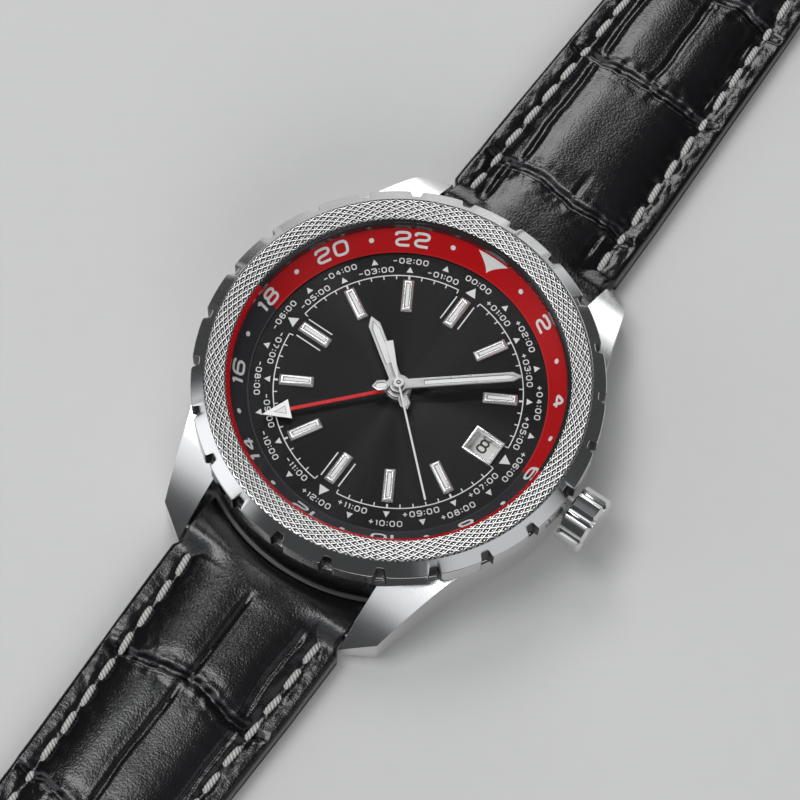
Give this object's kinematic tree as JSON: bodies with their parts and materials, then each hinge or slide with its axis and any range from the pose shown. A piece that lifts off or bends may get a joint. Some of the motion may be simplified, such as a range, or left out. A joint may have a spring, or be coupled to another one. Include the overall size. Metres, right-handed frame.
{
  "type": "world time wristwatch",
  "caption": "Round steel wristwatch with a notched turning bezel, 24 hour ring, centre hands, fluted crown and a padded leather strap with a pin buckle, opened out flat.",
  "frame": {"origin": "centre of the case back's rest face", "axes": "+X from the case centre to the crown at 3 o'clock, +Y to 12 o'clock along the strap, +Z out of the dial"},
  "size_m": [0.0454, 0.25, 0.0122],
  "materials": {
    "case_steel": "polished and satin steel",
    "bezel_steel": "polished cone with a knurled band",
    "crown_steel": "polished steel",
    "buckle_steel": "polished steel",
    "bar_steel": "turned and spring steel",
    "cell_steel": "satin can",
    "crystal": "clear, polished",
    "seal": "matt black",
    "hour_ring": "printed in red and grey",
    "dial_black": "black sunray",
    "marker_metal": "polished",
    "lume": "pale luminous paint",
    "hand_metal": "polished",
    "world_red": "red paint",
    "seconds_white": "white paint",
    "date_white": "white, printed in black",
    "works_brass": "gilt brass",
    "winding_copper": "enamelled copper wire",
    "board_green": "circuit board",
    "holder_plastic": "moulded",
    "strap_leather": "black, crocodile grain, glossy",
    "lining_leather": "smooth, matt"
  },
  "bodies": {
    "case": {"case_middle": "case_steel", "case_back": "case_steel", "case_back_gasket": "seal", "crown_tube": "bar_steel", "click_spring": "bar_steel", "movement_holder": "holder_plastic", "main_plate": "works_brass", "train_block": "works_brass", "battery": "cell_steel", "battery_contact": "bar_steel", "drive_coil": "winding_copper", "circuit_board": "board_green", "date_retainer": "works_brass", "dial": "dial_black", "hour_markers": "marker_metal", "hour_marker_inlays": "lume", "date_frame": "marker_metal", "spring_bar_12": "bar_steel", "spring_bar_6": "bar_steel"},
    "bezel": {"bezel": "bezel_steel", "crystal": "crystal", "crystal_gasket": "seal", "hour_ring": "hour_ring"},
    "minute": {"cannon_pinion": "works_brass", "minute_hand": "hand_metal", "minute_hand_inlays": "lume"},
    "minute_wheel": {"minute_wheel": "works_brass"},
    "hour": {"hour_wheel": "works_brass", "hour_hand": "hand_metal", "hour_hand_inlays": "lume"},
    "world_idler": {"world_idler": "works_brass"},
    "world_hand": {"world_wheel": "works_brass", "world_hand": "world_red", "world_hand_inlay": "lume"},
    "seconds": {"seconds_arbor": "bar_steel", "seconds_hand": "seconds_white"},
    "date": {"date_disc": "date_white"},
    "sleeve": {"sliding_sleeve": "bar_steel"},
    "crown": {"winding_stem": "bar_steel", "crown": "crown_steel", "crown_seal": "seal"},
    "strap_12": {"strap_12_upper": "strap_leather", "strap_12_lining": "lining_leather", "fixed_keeper": "strap_leather", "buckle_bar": "bar_steel"},
    "free_keeper": {"free_keeper": "strap_leather"},
    "buckle": {"buckle_frame": "buckle_steel"},
    "tongue": {"buckle_tongue": "buckle_steel"},
    "strap_6": {"strap_6_upper": "strap_leather", "strap_6_lining": "lining_leather"}
  },
  "joints": [
    {"name": "bezel_turn", "type": "hinge", "parent": "case", "child": "bezel", "pos_m": [0, 0, 0], "axis": [0, 0, 1], "continuous": true},
    {"name": "minute_turn", "type": "hinge", "parent": "case", "child": "minute", "pos_m": [0, 0, 0], "axis": [0, 0, 1], "continuous": true},
    {"name": "minute_wheel_turn", "type": "hinge", "parent": "case", "child": "minute_wheel", "pos_m": [0.00295, -0.00206, 0], "axis": [0, 0, 1], "continuous": true},
    {"name": "hour_turn", "type": "hinge", "parent": "case", "child": "hour", "pos_m": [0, 0, 0], "axis": [0, 0, 1], "continuous": true},
    {"name": "world_idler_turn", "type": "hinge", "parent": "case", "child": "world_idler", "pos_m": [0.00063, 0.00354, 0], "axis": [0, 0, 1], "continuous": true},
    {"name": "world_turn", "type": "hinge", "parent": "case", "child": "world_hand", "pos_m": [0, 0, 0], "axis": [0, 0, 1], "continuous": true},
    {"name": "seconds_turn", "type": "hinge", "parent": "case", "child": "seconds", "pos_m": [0, 0, 0], "axis": [0, 0, 1], "continuous": true},
    {"name": "date_turn", "type": "hinge", "parent": "case", "child": "date", "pos_m": [0, 0, 0], "axis": [0, 0, 1], "continuous": true},
    {"name": "crown_turn", "type": "hinge", "parent": "case", "child": "sleeve", "pos_m": [0, 0, 0.0066], "axis": [1, 0, 0], "continuous": true},
    {"name": "crown_pull", "type": "slide", "parent": "sleeve", "child": "crown", "axis": [1, 0, 0], "range_m": [0, 0.0012]},
    {"name": "strap_12_swing", "type": "hinge", "parent": "case", "child": "strap_12", "pos_m": [0, 0.0226, 0.0021], "axis": [1, 0, 0], "range_deg": [-90, 60]},
    {"name": "strap_6_swing", "type": "hinge", "parent": "case", "child": "strap_6", "pos_m": [0, -0.0226, 0.0021], "axis": [-1, 0, 0], "range_deg": [-90, 60]},
    {"name": "buckle_swing", "type": "hinge", "parent": "strap_12", "child": "buckle", "pos_m": [0, 0.0976, 0.00215], "axis": [1, 0, 0], "range_deg": [-80, 25]},
    {"name": "tongue_lift", "type": "hinge", "parent": "buckle", "child": "tongue", "pos_m": [0, 0.0976, 0.00215], "axis": [1, 0, 0], "range_deg": [0, 90]},
    {"name": "keeper_slide", "type": "slide", "parent": "strap_12", "child": "free_keeper", "axis": [0, 1, 0], "range_m": [-0.004, 0.006]}
  ],
  "couplings": [
    {"joint": "minute_wheel_turn", "follows": "minute_turn", "ratio": -0.33333},
    {"joint": "hour_turn", "follows": "minute_turn", "ratio": 0.083333},
    {"joint": "world_idler_turn", "follows": "minute_turn", "ratio": -0.083333},
    {"joint": "world_turn", "follows": "minute_turn", "ratio": 0.041667}
  ]
}
